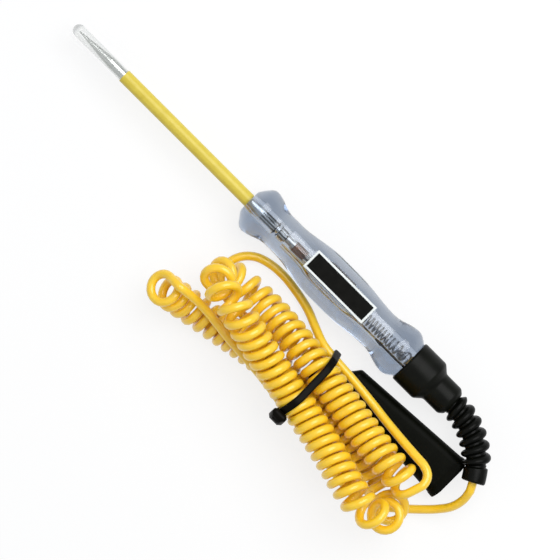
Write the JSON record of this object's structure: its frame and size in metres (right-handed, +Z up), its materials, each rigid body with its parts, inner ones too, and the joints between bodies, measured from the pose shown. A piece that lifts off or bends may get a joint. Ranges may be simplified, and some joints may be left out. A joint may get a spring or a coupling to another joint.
{
  "type": "circuit tester with earth lead",
  "caption": "Lighted circuit tester: a pointed steel probe in a yellow sleeve and clear lamp handle, with a tied yellow curly lead ending in a booted spring clip.",
  "frame": {"origin": "on the surface the tester lies on, under the middle of the tool without its lead", "axes": "+X along the probe to its point, +Y to the side on which the tied lead lies, +Z up"},
  "size_m": [0.2702, 0.0791, 0.0426],
  "materials": {
    "steel_rod": "bright turned steel",
    "sleeve_yellow": "smooth",
    "clear_cap": "clear, soft",
    "clear_grip": "clear, polished",
    "label_white": "satin",
    "label_black": "satin",
    "plated_contact": "plated",
    "lamp_bronze": "dull bronze",
    "lamp_glass": "clear",
    "filament": "dull wire",
    "brass": "plain",
    "spring_steel": "drawn wire",
    "black_cap": "moulded",
    "black_rubber": "soft matt",
    "cord_yellow": "smooth",
    "tie_black": "moulded nylon",
    "clip_steel": "zinc plated"
  },
  "bodies": {
    "root": {"rear_cap": "black_cap", "strain_relief": "black_rubber", "rear_contact": "brass", "rear_terminal": "brass", "contact_spring": "spring_steel", "cord_handle_tail": "cord_yellow", "cord_curls": "cord_yellow", "cord_clip_tail": "cord_yellow", "cable_tie": "tie_black", "clip_boot": "black_rubber", "clip_fixed_jaw": "clip_steel", "clip_pin": "clip_steel", "clip_spring": "spring_steel", "clip_crimp": "plated_contact"},
    "lamp": {"lamp_front_cap": "lamp_bronze", "lamp_glass": "lamp_glass", "lamp_filament": "filament", "lamp_rear_cap": "brass"},
    "handle": {"handle": "clear_grip", "probe_rod": "steel_rod", "probe_sleeve": "sleeve_yellow", "lamp_barrel": "plated_contact", "label_plate": "label_white", "label_panel": "label_black"},
    "tip_cap": {"tip_cap": "clear_cap"},
    "clip_jaw": {"clip_moving_jaw": "clip_steel"}
  },
  "joints": [
    {"name": "lamp_travel", "type": "slide", "parent": "root", "child": "lamp", "axis": [1, 0, 0], "range_m": [0, 0.00999], "deforming": ["contact_spring"]},
    {"name": "handle_turn", "type": "hinge", "parent": "lamp", "child": "handle", "pos_m": [0, 0, 0.0123], "axis": [1, 0, 0], "range_deg": [0, 1440]},
    {"name": "tip_cap_pull", "type": "slide", "parent": "handle", "child": "tip_cap", "axis": [1, 0, 0], "range_m": [0, 0.035]},
    {"name": "clip_jaw_open", "type": "hinge", "parent": "root", "child": "clip_jaw", "pos_m": [-0.113, 0.0244, 0.0053], "axis": [0, 0, -1], "range_deg": [0, 12], "stiffness_Nm_per_rad": 0.5, "springref_deg": -17.19, "deforming": ["clip_spring"]}
  ],
  "couplings": [
    {"joint": "handle_turn", "follows": "lamp_travel", "rad_per_m": 2513.3}
  ]
}
